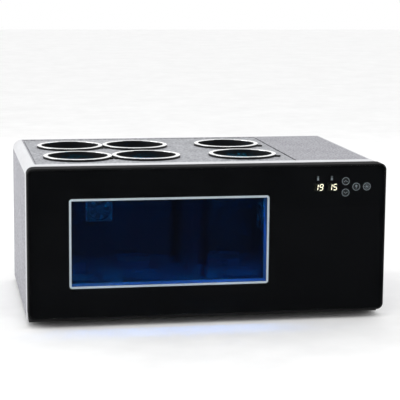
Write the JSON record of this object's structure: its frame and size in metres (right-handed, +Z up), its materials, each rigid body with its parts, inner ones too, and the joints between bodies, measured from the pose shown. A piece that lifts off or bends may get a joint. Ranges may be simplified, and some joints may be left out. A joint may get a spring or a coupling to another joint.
{
  "type": "wine cooler",
  "caption": "Counter-top wine cooler: bottles stand upright through ringed wells in its top, behind a black glass front with a blue-lit window and touch control.",
  "frame": {"origin": "on the counter under the middle of the object, at the underside of the feet", "axes": "+X to the right, +Y to the back, +Z up; the glass front faces -Y"},
  "size_m": [0.67, 0.448, 0.299],
  "materials": {
    "textured_sheet": "silver coat, embossed with a fine grain on its flats and smooth and bright at its edges",
    "insert_sheet": "silver coat with the same embossed grain, a little darker",
    "black_pan": "black satin paint",
    "back_sheet": "dark grey satin paint",
    "black_abs": "black moulded plastic, satin gloss",
    "front_glass": "clear toughened glass",
    "black_print": "black ceramic print seen through glass",
    "trim_print": "bright satin metal line",
    "reveal_abs": "blue-grey moulded plastic",
    "charcoal_abs": "charcoal vacuum-formed plastic, glossy",
    "inner_glass": "grey-blue tinted glass",
    "seal_rubber": "black rubber",
    "foam": "cream foam",
    "zinc_sheet": "zinc-plated sheet",
    "clear_acrylic": "clear acrylic",
    "tray_plastic": "dark blue-grey moulded plastic, frosted",
    "bar_aluminium": "satin anodised",
    "led_diffuser": "frosted strip, lit blue",
    "probe_metal": "satin steel",
    "chrome_ring": "polished chrome plate",
    "collar_plastic": "black moulded plastic",
    "sink_aluminium": "plain extruded aluminium",
    "ceramic": "white alumina ceramic",
    "fan_plastic": "black glass-filled plastic",
    "circuit_board": "green solder mask",
    "black_board": "black solder mask",
    "lit_digits": "warm white lit digits",
    "icon_print": "pale grey print, softly lit",
    "inlet_plastic": "black moulded socket with brass pins",
    "foot_rubber": "black rubber",
    "screw_steel": "zinc-plated steel"
  },
  "bodies": {
    "cabinet": {"casing": "textured_sheet", "base_pan": "black_pan", "back_panel": "back_sheet", "front_bezel": "black_abs", "front_glass": "front_glass", "glass_mask": "black_print", "window_trim": "trim_print", "window_reveal": "reveal_abs", "inner_pane": "inner_glass", "pane_gasket": "seal_rubber", "liner": "charcoal_abs", "insulation": "foam", "front_foam": "foam", "bulkhead": "zinc_sheet", "insert_plate": "insert_sheet", "plate_gasket": "seal_rubber", "top_foam": "foam", "ceiling_panel": "charcoal_abs", "zone_divider": "clear_acrylic", "divider_guides": "clear_acrylic", "left_tray": "tray_plastic", "right_tray": "tray_plastic", "led_bars": "bar_aluminium", "led_diffusers": "led_diffuser", "temp_probes": "probe_metal", "cold_sink_left": "sink_aluminium", "peltier_left": "ceramic", "hot_sink_left": "sink_aluminium", "cold_fan_frame_left": "fan_plastic", "hot_fan_frame_left": "fan_plastic", "cold_sink_right": "sink_aluminium", "peltier_right": "ceramic", "hot_sink_right": "sink_aluminium", "cold_fan_frame_right": "fan_plastic", "hot_fan_frame_right": "fan_plastic", "power_supply": "zinc_sheet", "control_board": "circuit_board", "display_board": "black_board", "digit_displays": "lit_digits", "touch_icons": "icon_print", "mains_inlet": "inlet_plastic", "feet": "foot_rubber", "foot_screws": "screw_steel", "back_screws": "screw_steel"},
    "collar_front_left": {"chrome_ring_1": "chrome_ring", "collar_1": "collar_plastic"},
    "collar_front_middle": {"chrome_ring_2": "chrome_ring", "collar_2": "collar_plastic"},
    "collar_front_right": {"chrome_ring_3": "chrome_ring", "collar_3": "collar_plastic"},
    "collar_rear_left": {"chrome_ring_4": "chrome_ring", "collar_4": "collar_plastic"},
    "collar_rear_middle": {"chrome_ring_5": "chrome_ring", "collar_5": "collar_plastic"},
    "collar_rear_right": {"chrome_ring_6": "chrome_ring", "collar_6": "collar_plastic"},
    "cold_fan_left_rotor": {"cold_fan_rotor_left": "fan_plastic"},
    "cold_fan_right_rotor": {"cold_fan_rotor_right": "fan_plastic"},
    "hot_fan_left_rotor": {"hot_fan_rotor_left": "fan_plastic"},
    "hot_fan_right_rotor": {"hot_fan_rotor_right": "fan_plastic"}
  },
  "joints": [
    {"name": "lift_collar_front_left", "type": "slide", "parent": "cabinet", "child": "collar_front_left", "axis": [0, 0, 1], "range_m": [0, 0.06]},
    {"name": "lift_collar_front_middle", "type": "slide", "parent": "cabinet", "child": "collar_front_middle", "axis": [0, 0, 1], "range_m": [0, 0.06]},
    {"name": "lift_collar_front_right", "type": "slide", "parent": "cabinet", "child": "collar_front_right", "axis": [0, 0, 1], "range_m": [0, 0.06]},
    {"name": "lift_collar_rear_left", "type": "slide", "parent": "cabinet", "child": "collar_rear_left", "axis": [0, 0, 1], "range_m": [0, 0.06]},
    {"name": "lift_collar_rear_middle", "type": "slide", "parent": "cabinet", "child": "collar_rear_middle", "axis": [0, 0, 1], "range_m": [0, 0.06]},
    {"name": "lift_collar_rear_right", "type": "slide", "parent": "cabinet", "child": "collar_rear_right", "axis": [0, 0, 1], "range_m": [0, 0.06]},
    {"name": "cold_fan_left_spin", "type": "hinge", "parent": "cabinet", "child": "cold_fan_left_rotor", "pos_m": [-0.16275, 0.149, 0.1585], "axis": [0, 1, 0], "continuous": true},
    {"name": "cold_fan_right_spin", "type": "hinge", "parent": "cabinet", "child": "cold_fan_right_rotor", "pos_m": [0.1535, 0.0135, 0.1585], "axis": [1, 0, 0], "continuous": true},
    {"name": "hot_fan_left_spin", "type": "hinge", "parent": "cabinet", "child": "hot_fan_left_rotor", "pos_m": [-0.16275, 0.2122, 0.1585], "axis": [0, 1, 0], "continuous": true},
    {"name": "hot_fan_right_spin", "type": "hinge", "parent": "cabinet", "child": "hot_fan_right_rotor", "pos_m": [0.273, 0.2122, 0.1585], "axis": [0, 1, 0], "continuous": true}
  ]
}
